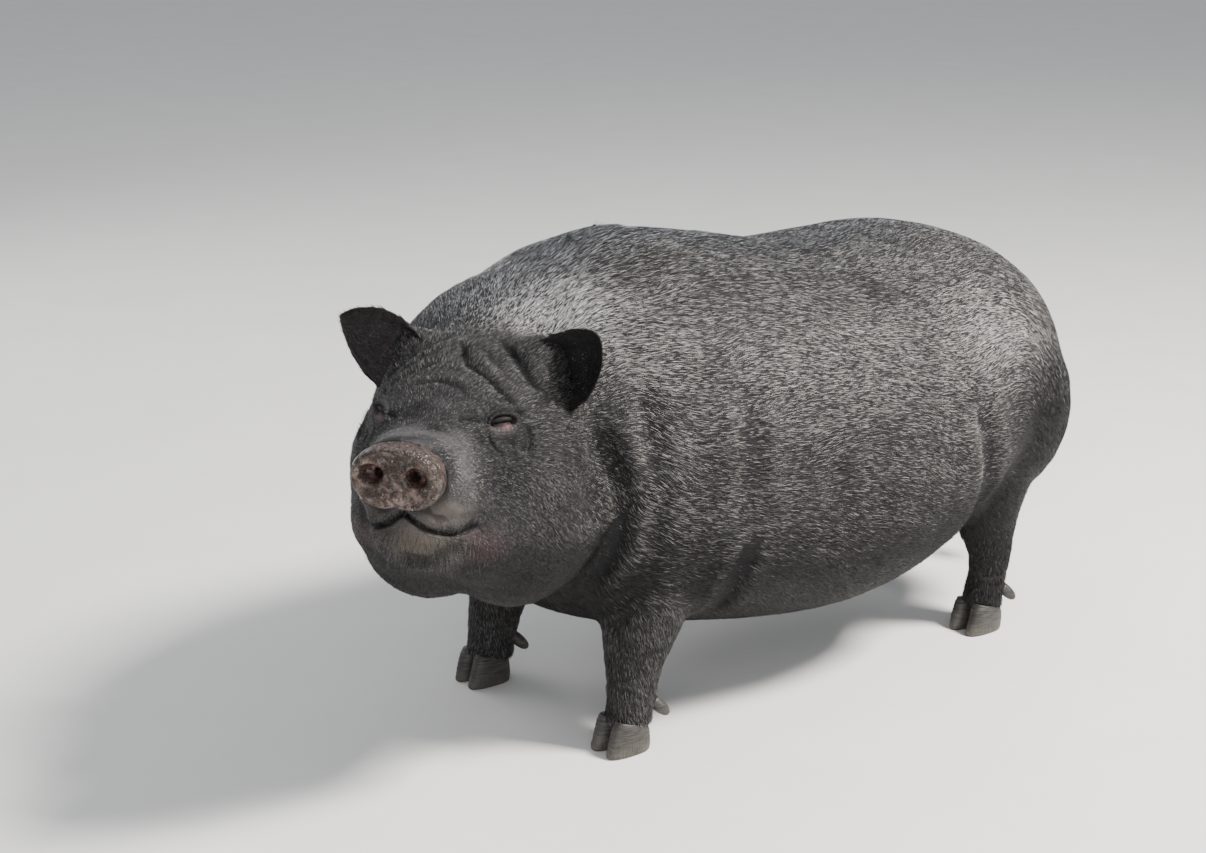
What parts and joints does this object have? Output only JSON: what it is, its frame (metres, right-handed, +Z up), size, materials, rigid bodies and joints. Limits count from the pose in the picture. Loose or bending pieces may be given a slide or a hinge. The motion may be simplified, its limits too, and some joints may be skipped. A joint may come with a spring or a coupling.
{
  "type": "pot-bellied pig",
  "caption": "Very fat black pot-bellied pig standing still, its head turned to its left, with a low belly, short legs, small cupped ears and a straight hanging tail.",
  "frame": {"origin": "on the floor, under the middle of the pig's length and width", "axes": "+Z up; the pig faces -Y with its head turned toward +X, its own left"},
  "size_m": [0.4521, 1.0434, 0.5371],
  "materials": {
    "skin": "charcoal skin under short black bristles, dull with a silvery sheen",
    "snout": "moist, brown-grey, bare",
    "hoof": "dark horn, dull, worn",
    "eye": "wet, near black",
    "bristle": "coarse black bristles"
  },
  "bodies": {
    "root": {"head": "skin", "neck": "skin", "torso": "skin", "tail": "skin", "ear_left": "skin", "ear_right": "skin", "foreleg_left": "skin", "foreleg_right": "skin", "hindleg_left": "skin", "hindleg_right": "skin", "snout": "snout", "eye_left": "eye", "eye_right": "eye", "hoof_foreleg_left_outer": "hoof", "dewclaw_foreleg_left_outer": "hoof", "hoof_foreleg_left_inner": "hoof", "dewclaw_foreleg_left_inner": "hoof", "hoof_foreleg_right_outer": "hoof", "dewclaw_foreleg_right_outer": "hoof", "hoof_foreleg_right_inner": "hoof", "dewclaw_foreleg_right_inner": "hoof", "hoof_hindleg_left_outer": "hoof", "dewclaw_hindleg_left_outer": "hoof", "hoof_hindleg_left_inner": "hoof", "dewclaw_hindleg_left_inner": "hoof", "hoof_hindleg_right_outer": "hoof", "dewclaw_hindleg_right_outer": "hoof", "hoof_hindleg_right_inner": "hoof", "dewclaw_hindleg_right_inner": "hoof", "tail_tassel": "bristle"}
  },
  "joints": []
}
